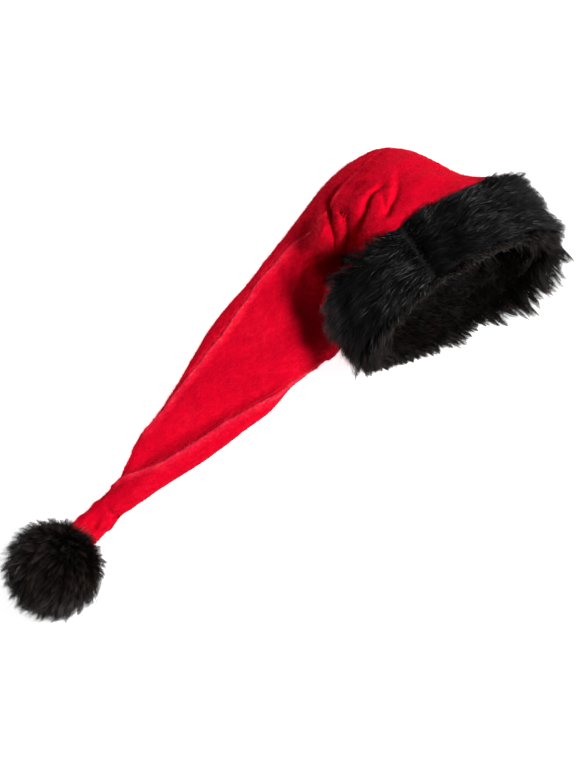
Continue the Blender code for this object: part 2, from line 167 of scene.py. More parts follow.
# Folds of the top, each a line of points in plan with how far it drops there (a minus makes a ridge) and
# how wide it is to the left and right of the line. The first value of a fold is how sharp its bottom is:
# 1 is a crease, 2 is a soft dent.
FOLD_COLUMNS = ("x", "y", "drop", "left", "right")
FOLDS = {
    "groove along the far seam": (1.3, (
        (184, 106, 0, 6, 6), (162, 104, 3, 6, 6), (146, 101, 3, 7, 5), (130, 99, 4, 7, 4.5),
        (117, 96, 6, 7, 4), (108, 93, 9, 6, 3.6), (104, 87, 12, 5, 3.4), (101, 80, 15, 4, 3.2),
        (97, 71, 17, 3.6, 3), (93, 62, 18, 3.6, 3), (89, 55, 17, 3.6, 3.2), (84, 49, 12, 4, 4),
    )),
    "rim beside the groove": (1.8, (
        (155, 76, -1, 4, 4), (145, 84, -2.5, 4, 4), (131, 92, -3.2, 4, 4), (120, 93, -3.4, 4, 4),
        (110, 88, -3.4, 3.6, 4), (107, 79, -3.2, 3.6, 4), (103, 70, -3, 3.6, 4), (100, 62, -2, 3.6, 4),
    )),
    "second crease": (1.25, (
        (105, 75, 2, 3, 3), (109.7, 69, 9, 3, 3.4), (111, 62, 13, 3.4, 3.8), (108.7, 55.8, 16, 3.8, 4),
        (103, 51, 22, 4, 4), (96, 45.5, 20, 4.4, 4.4),
    )),
    "deep crease": (1.6, (
        (159, 63, 3, 2.2, 2.2), (151.8, 63.3, 11, 2.4, 2.6), (143.3, 61.9, 14, 2.6, 3),
        (135.5, 57.4, 15, 2.6, 3.2),
        (129.3, 51.3, 15, 2.6, 3.4), (122.7, 47.2, 15, 2.8, 3.6), (114.8, 43.8, 16, 3, 4),
        (106.9, 42, 20, 3.6, 4.4), (98.8, 40, 20, 4.6, 5),
    )),
    "hollow between the creases": (2.0, ((116, 52, 2, 5, 5), (110, 45, 7, 6, 6), (102, 38, 9, 8, 8))),
    "soft crease": (1.4, (
        (181, 76, 1, 6, 6), (173, 62, 4, 4, 5), (168, 52, 5, 3.4, 5), (162, 43, 7, 3.4, 5),
        (153, 36, 8, 3.4, 5), (145, 29, 8, 4, 5),
    )),
    "ridge beside the soft crease": (1.8, (
        (172, 70, -1.5, 4, 4), (164, 60, -2.6, 4, 4), (158, 51, -2.6, 4, 4), (151, 44, -1.5, 4, 4),
    )),
    "small crease": (1.3, ((152, 52, 2, 2.5, 2.5), (147, 43, 4, 2.5, 2.5), (143, 32, 5, 3, 3))),
    "edge of the low area": (2.2, (
        (46, 57, 5, 6, 16), (54, 61, 16, 4, 22), (61, 62, 26, 2.6, 26), (67, 60, 34, 2.6, 28),
        (76, 55.5, 38, 2.6, 28), (85, 49.5, 40, 2.6, 28), (93, 43, 38, 3, 26), (101, 37, 28, 4, 22),
    )),
    "tongue": (2.0, ((103, 62, -1, 5, 5), (98, 55, -4, 5, 5), (91, 50, -4, 5, 5))),
    "roll beside the far groove": (2.0, (
        (88, 84, -2, 7, 7), (87, 72, -9, 9, 7), (81, 64, -12, 10, 7), (72, 64, -7, 9, 7), (62, 66, -2, 8, 7),
    )),
    "valley on the shoulder": (2.0, (
        (30, 86, 0, 9, 9), (23, 72, 2, 10, 10), (24, 52, 3, 11, 11), (20, 24, 2, 12, 12),
    )),
    "patch above the middle": (2.0, ((-66, 34, 1, 12, 12), (-45, 24, 2.4, 13, 13), (-28, 8, 1.5, 12, 12))),
    "valley above the near roll": (2.0, (
        (-226, -11, 5, 9, 7), (-207, -12, 10, 14, 10), (-185, -10, 12, 16, 12), (-147, -9, 12, 18, 13),
        (-100, -12, 11, 18, 12), (-53, -19, 7, 14, 9), (-20, -18, 2, 10, 7),
    )),
    "near roll": (1.8, (
        (-230, -18, -0.5, 4, 5), (-200, -30, -2.4, 5, 6), (-152, -31, -3.2, 5, 6), (-102, -33, -3.2, 5, 6),
        (-52, -34, -2, 5, 5), (-20, -27, -0.5, 5, 5),
    )),
    "bump": (2.0, ((-128, -2, -1.2, 9, 9), (-108, 8, -1.4, 9, 9))),
    "dent beside the pompom": (2.0, ((-264, -33, 1, 6, 5), (-274, -38, 6, 6, 6), (-284, -42, 8, 6, 6))),
    "gather near the tip": (1.4, ((-258, -32, 1, 3, 3), (-256, -40, 5.5, 3, 3), (-254, -47, 7, 3, 3))),
}


# Shapes


def ease(t):
    t = np.clip(t, 0.0, 1.0)
    return t * t * (3.0 - 2.0 * t)


def unit(vectors):
    return vectors / np.maximum(np.linalg.norm(vectors, axis=-1, keepdims=True), 1e-9)


def spline(before, start, end, after, t):
    return 0.5 * (
        2.0 * start
        + (end - before) * t
        + (2.0 * before - 5.0 * start + 4.0 * end - after) * t * t
        + (3.0 * start - before - 3.0 * end + after) * t * t * t
    )


def section_values():
    """One array for each column of the section table, with the sections between the rows filled in."""
    table = np.array(SECTIONS, float)
    middle = (table[:, 0:2] + table[:, 2:4]) / 2.0
    last = len(table) - 1
    rows = []
    for index in range(last):
        four = [table[max(index - 1, 0)], table[index], table[index + 1], table[min(index + 2, last)]]
        wanted = FINE_STEP if index < LAST_FINE_SECTION else COARSE_STEP
        steps = max(int(round(np.hypot(*(middle[index + 1] - middle[index])) / wanted)), 3)
        rows += [spline(*four, step / steps) for step in range(steps)]
    rows.append(table[last])
    rows = rows[1:] if len(rows) % 2 == 0 else rows
    rows = np.array(rows)
    return {name: rows[:, i, None] for i, name in enumerate(SECTION_COLUMNS)}


def smooth_line(points, finer=4):
    points = np.array(points, float)
    last = len(points) - 1
    line = []
    for index in range(last):
        four = [points[max(index - 1, 0)], points[index], points[index + 1], points[min(index + 2, last)]]
        line += [spline(*four, step / finer) for step in range(finer)]
    line.append(points[last])
    return np.array(line)


def fold_drop(x, y):
    """How far the folds lower the top at each place in plan."""
    total = np.zeros_like(x)
    for sharp, points in FOLDS.values():
        line = smooth_line(points)
        away = np.full_like(x, 1e9)
        drop = np.zeros_like(x)
        width = np.ones_like(x)
        for start, stop in zip(line[:-1], line[1:]):
            dx = stop[0] - start[0]
            dy = stop[1] - start[1]
            t = np.clip(((x - start[0]) * dx + (y - start[1]) * dy) / (dx * dx + dy * dy), 0.0, 1.0)
            off_x = x - start[0] - t * dx
            off_y = y - start[1] - t * dy
            reach = np.hypot(off_x, off_y)
            nearer = reach < away
            values = start[2:, None, None] + (stop - start)[2:, None, None] * t
            here = dict(zip(FOLD_COLUMNS[2:], values))
            side = ease((dx * off_y - dy * off_x) / (np.hypot(dx, dy) * 2.0) + 0.5)
            away = np.where(nearer, reach, away)
            drop = np.where(nearer, here["drop"], drop)
            wide = here["left"] * side + here["right"] * (1.0 - side)
            width = np.where(nearer, wide, width)
        total += drop * np.exp(-((away / width) ** sharp))
    return total


def wobble(points, size, seed):
    """Smooth wandering values near -1 to 1, with waves about size millimetres long."""
    chance = np.random.default_rng(seed)
    total = np.zeros(points.shape[:-1])
    for _ in range(9):
        way = unit(chance.normal(size=3)) * (2.0 * math.pi / (size * chance.uniform(0.7, 1.5)))
        total += np.sin(points @ way + chance.uniform(0.0, 6.28))
    return total / 3.0


def crown_points(rows, degrees):
    """The crown's outer face on a grid: rows of sections, degrees round them."""
    turn = np.radians(degrees)
    across = (1.0 - np.cos(turn)) / 2.0
    rise = np.abs(np.sin(turn))
    x = rows["far_x"] + (rows["near_x"] - rows["far_x"]) * across
    y = rows["far_y"] + (rows["near_y"] - rows["far_y"]) * across
    full = 0.8 ** rows["top"]
    far = (rows["z_far"] - rows["side"]) / full
    mid = rows["z_mid"] - rows["side"]
    near = (rows["z_near"] - rows["side"]) / full
    reach = far + (mid - far) * ease((across - 0.2) / 0.3)
    reach = reach + (near - mid) * ease((across - 0.5) / 0.3)
    above = rows["side"] + reach * rise ** rows["top"] - fold_drop(x, y) * ease(rise / 0.45)
    above = np.maximum(above, np.minimum(rows["side"], rows["base"] + LEAST_HOLLOW) + 1.5 * rise)
    press = 1.0 + 0.12 * (1.0 - rows["under"])
    below = rows["side"] - (rows["side"] - rows["base"]) * press * rise ** rows["under"]
    below = np.maximum(np.maximum(below, rows["base"]), 0.0)
    z = np.where(np.sin(turn) >= 0.0, above, below)
    wide_x = rows["near_x"] - rows["far_x"]
    wide_y = rows["near_y"] - rows["far_y"]
    width = np.hypot(wide_x, wide_y)
    shift = rows["lean"] * (z - rows["side"])
    return np.stack((x + wide_y / width * shift, y - wide_x / width * shift, z), axis=-1)


def grid_normals(grid):
    """Outward normals of a grid that closes on itself round its second axis."""
    along = np.empty_like(grid)
    along[1:-1] = grid[2:] - grid[:-2]
    along[0] = grid[1] - grid[0]
    along[-1] = grid[-1] - grid[-2]
    around = np.roll(grid, -1, axis=1) - np.roll(grid, 1, axis=1)
    return unit(np.cross(along, around))


def away_from(grid, step, far):
    """How far each point of the front panel is from the far seam, or of the back panel from the near seam.

    Points of the other panel are set very far away.
    """
    away = np.full(grid.shape[:2], 1e3)
    first, last = (0, FRONT_COLUMNS) if far else (FRONT_COLUMNS, FRONT_COLUMNS + BACK_COLUMNS)
    walked = np.cumsum(step[:, first:last], axis=1)
    away[:, first + 1:last] = walked[:, :-1]
    away[:, first] = 0.0
    return away


def crown_grid():
    """Outer and inner points of the crown, its normals, and how far they lie from seams and raised edges."""
    rows = section_values()
    front = np.linspace(0.0, 1.0, FRONT_COLUMNS, endpoint=False)
    back = np.linspace(0.0, 1.0, BACK_COLUMNS, endpoint=False)
    span = rows["seam_b"] - rows["seam_a"]
    degrees = np.concatenate(
        (rows["seam_a"] + span * front, rows["seam_b"] + (360.0 - span) * back), axis=1
    )
    grid = crown_points(rows, degrees)
    normals = grid_normals(grid)
    step = np.linalg.norm(np.roll(grid, -1, axis=1) - grid, axis=-1)
    cut = FRONT_COLUMNS
    away = np.empty(grid.shape[:2])
    for first, last in ((0, cut), (cut, cut + BACK_COLUMNS)):
        walked = np.cumsum(step[:, first:last], axis=1)
        start = np.concatenate((np.zeros((len(grid), 1)), walked[:, :-1]), axis=1)
        away[:, first:last] = np.minimum(start, walked[:, -1:] - start)
    tucked = ease((np.arange(len(grid)) - 8.0) / 14.0)[:, None]
    end = ease((len(grid) - 1 - np.arange(len(grid))) / 5.0)[:, None]
    free = tucked * end
    near_far_seam = away_from(grid, step, True)
    near_near_seam = away_from(grid, step, False)
    seam = 0.7 * np.exp(-(((away - 2.6) / 2.0) ** 2)) - 0.9 * np.exp(-((away / 0.9) ** 2))
    seam += 1.9 * np.exp(-(((near_far_seam - 4.0) / 3.4) ** 2))
    seam += 2.4 * np.exp(-(((near_near_seam - 2.6) / 2.2) ** 2))
    seam -= 0.6 * np.exp(-(((near_near_seam - 8.0) / 2.4) ** 2))
    seam *= 1.0 - 0.7 * ease((grid[..., 0] - 40.0) / 50.0)
    soft = 0.85 * wobble(grid, 42.0, 3) + 0.32 * wobble(grid, 18.0, 4) + 0.12 * wobble(grid, 8.0, 5)
    soft *= 0.35 + 0.65 * ease(normals[..., 2] / 0.6)
    soft += 0.7 * wobble(grid, 13.0, 8) * ease((-238.0 - grid[..., 0]) / 16.0)
    pucker = 0.45 * wobble(grid, 5.0, 6) * np.exp(-((away / 5.0) ** 2))
    crinkle = np.hypot(grid[..., 0] - CRINKLE_PLACE[0], grid[..., 1] - CRINKLE_PLACE[1]) / CRINKLE_REACH
    pucker += 0.7 * wobble(grid, 6.0, 7) * np.exp(-(crinkle**2)) * (grid[..., 2] > 60.0)
    lift = (seam + soft + pucker) * free * ease((grid[..., 2] - 0.2) / 3.0)
    outer = grid + normals * lift[..., None]
    outer[..., 2] = np.maximum(outer[..., 2], 0.0)
    inner = grid - normals * (WALL - 0.2)
    return outer, inner, grid_normals(outer), away, np.minimum(near_far_seam, near_near_seam)


# Meshes


def add_mesh(name, points, faces, material, uv=None, smooth=True):
    """A mesh piece from layout points and a list of face arrays, each of one number of corners."""
    mesh = bpy.data.meshes.new(name)
    points = (np.asarray(points, float) - DATUM) * MM
    mesh.vertices.add(len(points))
    mesh.vertices.foreach_set("co", points.astype(np.float32).ravel())
    loops = np.concatenate([np.asarray(part, np.int32).ravel() for part in faces])
    sizes = np.concatenate([np.full(len(part), part.shape[1], np.int32) for part in faces])
    starts = np.concatenate(([0], np.cumsum(sizes)[:-1])).astype(np.int32)
    mesh.loops.add(len(loops))
    mesh.loops.foreach_set("vertex_index", loops)
    mesh.polygons.add(len(sizes))
    mesh.polygons.foreach_set("loop_start", starts)
    mesh.polygons.foreach_set("loop_total", sizes)
    mesh.polygons.foreach_set("use_smooth", np.full(len(sizes), smooth))
    if uv is not None:
        layer = mesh.uv_layers.new(name="UVMap")
        layer.data.foreach_set("uv", np.asarray(uv, np.float32)[loops].ravel())
    mesh.update(calc_edges=True)
    mesh.validate()
    mesh.materials.append(material)
    obj = bpy.data.objects.new(name, mesh)
    bpy.context.scene.collection.objects.link(obj)
    return obj


def quads_of(high, wide, start=0, flip=False):
    i, j = np.meshgrid(np.arange(high - 1), np.arange(wide - 1), indexing="ij")
    a = (start + i * wide + j).ravel()
    faces = np.stack((a, a + wide, a + wide + 1, a + 1), axis=1)
    return faces[:, ::-1] if flip else faces


def crown_panel(name, outer, inner, edge_away, first, count, material):
    """A closed wall over some of the crown's columns. Its inner sheet has every second row and column.

    U says how far a point is from the raised edge of a seam, 1 being PILE_EDGE away or more; the plush
    paints its seam sheen where U is low.
    """
    columns = FRONT_COLUMNS + BACK_COLUMNS
    pick = (first + np.arange(count + 1)) % columns
    sheets = []
    for sheet in (outer[:, pick].copy(), inner[:, pick].copy()):
        sheet[:, 0] += unit(sheet[:, 1] - sheet[:, 0]) * SEAM_GAP / 2.0
        sheet[:, -1] += unit(sheet[:, -2] - sheet[:, -1]) * SEAM_GAP / 2.0
        sheets.append(sheet)
    out_sheet = sheets[0]
    in_sheet = sheets[1][::2, ::2]
    size = out_sheet.shape[0] * out_sheet.shape[1]
    out_index = np.arange(size).reshape(out_sheet.shape[:2])
    in_index = size + np.arange(in_sheet.shape[0] * in_sheet.shape[1]).reshape(in_sheet.shape[:2])
    quads = [quads_of(*out_sheet.shape[:2]), quads_of(*in_sheet.shape[:2], size, flip=True)]
    triangles = []
    edges = (
        (out_index[:, 0], in_index[:, 0]),
        (out_index[-1], in_index[-1]),
        (out_index[::-1, -1], in_index[::-1, -1]),
        (out_index[0, ::-1], in_index[0, ::-1]),
    )
    for rim, lining in edges:
        a, b, c = rim[:-1:2], rim[1::2], rim[2::2]
        triangles.append(np.stack((b, a, lining[:-1]), axis=1))
        triangles.append(np.stack((b, lining[:-1], lining[1:]), axis=1))
        triangles.append(np.stack((c, b, lining[1:]), axis=1))
    points = np.concatenate([sheet.reshape(-1, 3) for sheet in (out_sheet, in_sheet)])
    uv = np.ones((len(points), 2))
    uv[:size, 0] = np.minimum(edge_away[:, pick].ravel() / PILE_EDGE, 1.0)
    return add_mesh(name, points, quads + triangles, material, uv)


def nap(name, outer, normals, seam_away, first, count, strands, seed, material):
    """Short leaning fibres over a panel, one triangle each, closer together beside the seams."""
    chance = np.random.default_rng(SEED + seed)
    columns = FRONT_COLUMNS + BACK_COLUMNS
    pick = (first + np.arange(count + 1)) % columns
    sheet = outer[:, pick]
    facing = normals[:, pick]
    near = seam_away[:, pick[:-1]][:-1]
    across = np.linalg.norm(sheet[:-1, 1:] - sheet[:-1, :-1], axis=-1)
    along = np.linalg.norm(sheet[1:, :-1] - sheet[:-1, :-1], axis=-1)
    seen = 0.4 + ease((facing[:-1, :-1, 2] + 0.45) / 0.7)
    clear = (np.arange(len(across)) > NAP_FIRST_ROW)[:, None] * (sheet[:-1, :-1, 2] > 1.5)
    crowding = 1.0 + NAP_SEAM_EXTRA * np.exp(-((near / NAP_SEAM_REACH) ** 2))
    weight = across * along * seen * clear * crowding
    weight = weight.ravel() / weight.sum()
    cells = chance.choice(weight.size, strands, p=weight)
    i, j = np.divmod(cells, across.shape[1])
    u = chance.random(strands)[:, None]
    v = chance.random(strands)[:, None]
    below = sheet[i, j] * (1.0 - u) + sheet[i, j + 1] * u
    above = sheet[i + 1, j] * (1.0 - u) + sheet[i + 1, j + 1] * u
    roots = below * (1.0 - v) + above * v
    grow = facing[i, j]
    lie = unit(sheet[i + 1, j] - sheet[i, j])
    drift = np.stack([wobble(roots, 20.0, SEED + 40 + k) for k in range(3)], axis=-1)
    lie = unit(lie + drift * 0.8 + chance.normal(size=lie.shape) * 0.25)
    raised = chance.uniform(0.5, 1.3, strands)[:, None]
    way = unit(grow * raised + lie)
    length = NAP_LENGTH * chance.uniform(0.6, 1.2, strands)[:, None]
    side = unit(np.cross(way, unit(chance.normal(size=way.shape)))) * NAP_WIDTH / 2.0
    roots = roots - grow * 0.15
    tips = roots + way * length
    tips[:, 2] = np.maximum(tips[:, 2], 0.4)
    points = np.stack((roots - side, roots + side, tips), axis=1).reshape(-1, 3)
    faces = np.arange(strands * 3).reshape(-1, 3)
    # Half of each fibre's tone is random and half is nearness to a seam, so fibres beside the seams get
    # painted seam sheen.
    tone = 0.5 * chance.random(strands) + 0.5 * np.exp(-((near[i, j] / 6.0) ** 2))
    uv = np.stack((np.repeat(tone, 3), np.tile((0.0, 0.0, 1.0), strands)), axis=1)
    return add_mesh(name, points, [faces], material, uv, smooth=False)


def cuff_surface(turn, out, along):
    """Points and outward normals of the cuff's oval band."""
    turn, out, along = np.broadcast_arrays(turn, out, along)
    zero = np.zeros(turn.shape)
    normal = np.stack((CUFF_HALF_HEIGHT * np.cos(turn), zero, CUFF_HALF_WIDTH * np.sin(turn)), axis=-1)
    normal = unit(normal)
    x = CUFF_X + CUFF_HALF_WIDTH * np.cos(turn) + out * normal[..., 0]
    z = CUFF_Z + CUFF_HALF_HEIGHT * np.sin(turn) + out * normal[..., 2]
    y = CUFF_RIM_Y + CUFF_LEAN * z + along
    return np.stack((x, y, z), axis=-1), normal


def cuff_backing(material):
    profile = [(0.0, 3.0), (1.4, 0.3), (4.9, -1.2), (8.4, 0.3), (CUFF_THICK, 3.0)]
    profile += [(CUFF_THICK, 3.0 + (CUFF_BAND - 3.0) * i / 8.0) for i in range(1, 9)]
    profile += [(CUFF_SLOT_OUT, CUFF_BAND), (CUFF_SLOT_OUT, CUFF_BAND - CUFF_SLOT_DEEP)]
    profile += [(CUFF_SLOT_IN, CUFF_BAND - CUFF_SLOT_DEEP), (CUFF_SLOT_IN, CUFF_BAND), (0.0, CUFF_BAND)]
    profile += [(0.0, CUFF_BAND - (CUFF_BAND - 3.0) * i / 6.0) for i in range(1, 6)]
    profile = np.array(profile)
    turns = np.linspace(0.0, 2.0 * math.pi, 160, endpoint=False)
    points, _ = cuff_surface(turns[:, None], profile[None, :, 0], profile[None, :, 1])
    high, wide = points.shape[:2]
    i, j = np.meshgrid(np.arange(high), np.arange(wide), indexing="ij")
    after = (i + 1) % high
    beside = (j + 1) % wide
    faces = np.stack(
        (i * wide + j, after * wide + j, after * wide + beside, i * wide + beside), axis=-1
    ).reshape(-1, 4)
    return add_mesh("cuff_backing", points.reshape(-1, 3), [faces], material)


# Where along a strand its points lie, and how wide it is there
LONG_LEVELS = np.array((0.0, 0.36, 0.7, 1.0))
SHORT_LEVELS = np.array((0.0, 0.55, 1.0))


def strand_paths(roots, normals, flow, length, start, end, droop, levels):
    """Points along each strand at the levels. start and end are its angles to the cloth in radians."""
    fine = 9
    steps = np.linspace(0.0, 1.0, fine)
    angle = start[:, None] + (end - start)[:, None] * steps[None, :]
    ways = normals[:, None, :] * np.sin(angle)[..., None] + flow[:, None, :] * np.cos(angle)[..., None]
    middle = (ways[:, 1:] + ways[:, :-1]) / 2.0
    walked = np.concatenate((np.zeros((len(roots), 1, 3)), np.cumsum(middle, axis=1) / (fine - 1)), axis=1)
    path = roots[:, None, :] + walked * length[:, None, None]
    path[..., 2] -= droop[:, None] * steps[None, :] ** 2
    picks = levels * (fine - 1)
    below = np.floor(picks).astype(int)
    above = np.minimum(below + 1, fine - 1)
    part = (picks - below)[None, :, None]
    return path[:, below] * (1.0 - part) + path[:, above] * part


def clumped(paths, roots, levels, share, pull, power, chance):
    """Each strand's tip drawn towards that of the tuft that it grows nearest to, and which tuft that is."""
    count = max(int(len(roots) * share), 2)
    leaders = chance.choice(len(roots), count, replace=False)
    tree = kdtree.KDTree(count)
    for place, leader in enumerate(leaders):
        tree.insert(roots[leader], place)
    tree.balance()
    nearest = np.array([tree.find(root)[1] for root in roots])
    guide = paths[leaders[nearest]]
    strength = pull * chance.uniform(0.55, 1.0, len(roots))[:, None] * levels[None, :] ** power
    return paths + (guide - paths) * strength[..., None], nearest


def strand_mesh(name, paths, facing, tone, levels, width, chance, material, floor=0.5):
    """Tapered flat strands along the paths, each with its flat side turned roughly the way it faces."""
    count = len(paths)
    paths = paths.copy()
    paths[..., 2] = np.maximum(paths[..., 2], floor + 0.5 * chance.random(count)[:, None])
    way = unit(paths[:, -1] - paths[:, 0])
    side = unit(np.cross(way, unit(facing + 0.8 * chance.normal(size=(count, 3)))))
    half = side * (width * chance.uniform(0.7, 1.3, count))[:, None] / 2.0
    rings = []
    for place, level in enumerate(levels[:-1]):
        taper = 1.0 - 0.65 * level**1.5
        rings.append(paths[:, place] - half * taper)
        rings.append(paths[:, place] + half * taper)
    rings.append(paths[:, -1])
    points = np.stack(rings, axis=1).reshape(-1, 3)
    corners = len(rings)
    base = np.arange(count)[:, None] * corners
    pairs = range(0, corners - 3, 2)
    quads = np.concatenate([base + np.array((first, first + 1, first + 3, first + 2)) for first in pairs])
    tips = base + np.array((corners - 3, corners - 2, corners - 1))
    v = np.append(np.repeat(levels[:-1], 2), 1.0)
    uv = np.stack((np.repeat(tone, corners), np.tile(v, count)), axis=1)
    return add_mesh(name, points, [quads, tips], material, uv)


# Materials


class Nodes:
    """A short way to write a node tree."""

    def __init__(self, name):
        self.material = bpy.data.materials.new(name)
        self.material.use_nodes = True
        self.tree = self.material.node_tree
        self.shader = self.tree.nodes["Principled BSDF"]

    def add(self, kind, inputs=None, **settings):
        node = self.tree.nodes.new(kind)
        for key, value in settings.items():
            setattr(node, key, value)
        for key, value in (inputs or {}).items():
            if isinstance(value, bpy.types.NodeSocket):
                self.tree.links.new(value, node.inputs[key])
            else:
                node.inputs[key].default_value = value
        return node

    def set(self, **values):
        for key, value in values.items():
            socket = self.shader.inputs[key.replace("_", " ")]
            if isinstance(value, bpy.types.NodeSocket):
                self.tree.links.new(value, socket)
            else:
                socket.default_value = value

    def ramp(self, factor, stops):
        node = self.add("ShaderNodeValToRGB", {"Fac": factor})
        ramp = node.color_ramp
        while len(ramp.elements) < len(stops):
            ramp.elements.new(0.5)
        for element, (place, color) in zip(ramp.elements, stops):
            element.position = place
            element.color = (*color, 1.0)
        return node.outputs["Color"]

    def product(self, first, second):
        node = self.add("ShaderNodeMix", data_type="RGBA", blend_type="MULTIPLY")
        node.inputs["Factor"].default_value = 1.0
        self.tree.links.new(first, node.inputs["A"])
        self.tree.links.new(second, node.inputs["B"])
        return node.outputs["Result"]

    def noise(self, scale, detail=3.0, rough=0.5, warp=None, distortion=0.0):
        inputs = {"Scale": scale, "Detail": detail, "Roughness": rough, "Distortion": distortion}
        inputs["Vector"] = warp if warp is not None else self.place()
        return self.add("ShaderNodeTexNoise", inputs).outputs["Fac"]

    def place(self):
        if not hasattr(self, "coords"):
            self.coords = self.add("ShaderNodeTexCoord")
        return self.coords.outputs["Object"]

    def stretched(self, scale, turn=(0.0, 0.0, 0.0)):
        return self.add(
            "ShaderNodeMapping", {"Vector": self.place(), "Scale": scale, "Rotation": turn}
        ).outputs["Vector"]


def plush(name, tint):
    """Red velvet plush: patches of brushed pile, fine tufts, and a painted sheen, lighter and pinker, along
    the raised edges beside the seams.
    """
    n = Nodes(name)
    brushed = n.noise(24.0, 4.0, 0.6, n.stretched((1.0, 1.6, 1.0), (0.0, 0.0, 0.5)), 0.6)
    tufts = n.noise(400.0, 3.0, 0.65)
    strokes = n.noise(140.0, 3.0, 0.6, n.stretched((1.0, 2.2, 1.5), (0.0, 0.0, 0.4)))
    mixed = n.add("ShaderNodeMath", {0: brushed, 1: 0.30}, operation="MULTIPLY")
    mixed = n.add("ShaderNodeMath", {0: strokes, 1: 0.42, 2: mixed.outputs[0]}, operation="MULTIPLY_ADD")
    mixed = n.add("ShaderNodeMath", {0: tufts, 1: 0.28, 2: mixed.outputs[0]}, operation="MULTIPLY_ADD")
    color = n.ramp(
        mixed.outputs[0],
        (
            (0.36, tuple(c * 0.84 for c in tint)),
            (0.50, tint),
            (0.64, (min(tint[0] * 1.14, 1.0), tint[1] * 4.0, tint[2] * 1.4)),
        ),
    )
    # Painted sheen: the base colour is lighter and pinker along the raised edges beside the seams, where the
    # pile catches the light, and a little darker right on the seam line.
    uv = n.add("ShaderNodeUVMap", uv_map="UVMap").outputs["UV"]
    away = n.add("ShaderNodeSeparateXYZ", {"Vector": uv}).outputs["X"]
    sheen_noise = n.noise(330.0, 2.0, 0.5)
    ragged = n.add("ShaderNodeMath", {0: sheen_noise, 1: 0.22, 2: -0.11}, operation="MULTIPLY_ADD")
    edge = n.add("ShaderNodeMath", {0: away, 1: ragged.outputs[0]}, operation="ADD")
    painted_seam_sheen = n.ramp(
        edge.outputs[0],
        (
            (0.0, (0.75, 0.8, 0.8)),
            (0.05, (1.3, 14.0, 3.4)),
            (0.14, (1.35, 18.0, 3.8)),
            (0.26, (1.15, 5.0, 1.8)),
            (0.55, (1.0, 1.0, 1.0)),
        ),
    )
    height = n.add("ShaderNodeMath", {0: strokes, 1: 0.6, 2: tufts}, operation="MULTIPLY_ADD")
    bump = n.add(
        "ShaderNodeBump", {"Height": height.outputs[0], "Strength": 0.5, "Distance": 0.0014}
    )
    n.set(Base_Color=n.product(color, painted_seam_sheen), Roughness=0.95, Normal=bump.outputs["Normal"])
    n.set(Specular_IOR_Level=0.01, Sheen_Weight=0.12, Sheen_Roughness=0.35)
    n.set(Sheen_Tint=(1.0, 0.06, 0.10, 1.0))
    return n.material


def plush_nap(name, root, tip):
    """The loose fibres of the plush, lighter towards their tips, and painted lighter and pinker near the
    seams as seam sheen.
    """
    n = Nodes(name)
    uv = n.add("ShaderNodeUVMap", uv_map="UVMap").outputs["UV"]
    parts = n.add("ShaderNodeSeparateXYZ", {"Vector": uv})
    along = n.ramp(parts.outputs["Y"], ((0.0, root), (1.0, tip)))
    # High tones, given to fibres beside the seams, are painted sheen.
    tone = n.ramp(
        parts.outputs["X"],
        ((0.0, (0.8, 0.8, 0.8)), (0.5, (1.05, 1.05, 1.05)), (1.0, (1.15, 5.0, 2.4))),
    )
    color = n.product(along, tone)
    n.set(Base_Color=color, Roughness=0.85, Specular_IOR_Level=0.02)
    n.set(Sheen_Weight=0.1, Sheen_Roughness=0.35, Sheen_Tint=(1.0, 0.08, 0.12, 1.0))
    return n.material


def fur(name, root, middle, tip, shine):
    """Black fur: darker at the root, with some browner and some greyer strands."""
    n = Nodes(name)
    uv = n.add("ShaderNodeUVMap", uv_map="UVMap").outputs["UV"]
    parts = n.add("ShaderNodeSeparateXYZ", {"Vector": uv})
    along = n.ramp(parts.outputs["Y"], ((0.0, root), (0.55, middle), (1.0, tip)))
    tone = n.ramp(
        parts.outputs["X"],
        (
            (0.2, (0.4, 0.4, 0.43)),
            (0.5, (0.85, 0.85, 0.9)),
            (0.72, (1.35, 1.3, 1.3)),
            (0.95, (2.8, 2.6, 2.5)),
        ),
    )
    n.set(Base_Color=n.product(along, tone), Roughness=0.36, Specular_IOR_Level=shine)
    return n.material


def knit_backing(name):
    """The dark knitted cloth that the fur grows from."""
    n = Nodes(name)
    weave = n.noise(900.0, 2.0, 0.6)
    color = n.ramp(weave, ((0.3, (0.002, 0.002, 0.002)), (0.8, (0.012, 0.010, 0.010))))
    bump = n.add("ShaderNodeBump", {"Height": weave, "Strength": 0.5, "Distance": 0.0008})
    n.set(Base_Color=color, Roughness=0.95, Specular_IOR_Level=0.1, Normal=bump.outputs["Normal"])
    return n.material


def floor_material():
    n = Nodes("floor_white")
    grain = n.noise(30.0, 2.0, 0.5)
    color = n.ramp(grain, ((0.3, (0.93, 0.93, 0.93)), (0.7, (0.95, 0.95, 0.95))))
    n.set(Base_Color=color, Roughness=0.9, Specular_IOR_Level=0.0)
    n.set(Emission_Color=(1.0, 1.0, 1.0, 1.0), Emission_Strength=FLOOR_GLOW)
    return n.material


# Crown


red = plush("red_plush", (0.62, 0.0012, 0.017))
red_nap = plush_nap("red_plush_nap", (0.45, 0.002, 0.012), (0.80, 0.008, 0.034))
outer, inner, crown_normals, seam_away, edge_away = crown_grid()
front = crown_panel("crown_front_plush", outer, inner, edge_away, 0, FRONT_COLUMNS, red)
back = crown_panel("crown_back_plush", outer, inner, edge_away, FRONT_COLUMNS, BACK_COLUMNS, red)
front_nap = nap(
    "crown_front_nap", outer, crown_normals, seam_away, 0, FRONT_COLUMNS, FRONT_NAP, 51, red_nap
)
back_nap = nap(
    "crown_back_nap", outer, crown_normals, seam_away, FRONT_COLUMNS, BACK_COLUMNS, BACK_NAP, 52, red_nap
)
for piece, node, name in (
    (front, "crown_front_panel", "front_plush"),
    (front_nap, "crown_front_panel", "front_plush"),
    (back, "crown_back_panel", "back_plush"),
    (back_nap, "crown_back_panel", "back_plush"),
):
    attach(piece, "root")
    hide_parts(node)


# Cuff fur


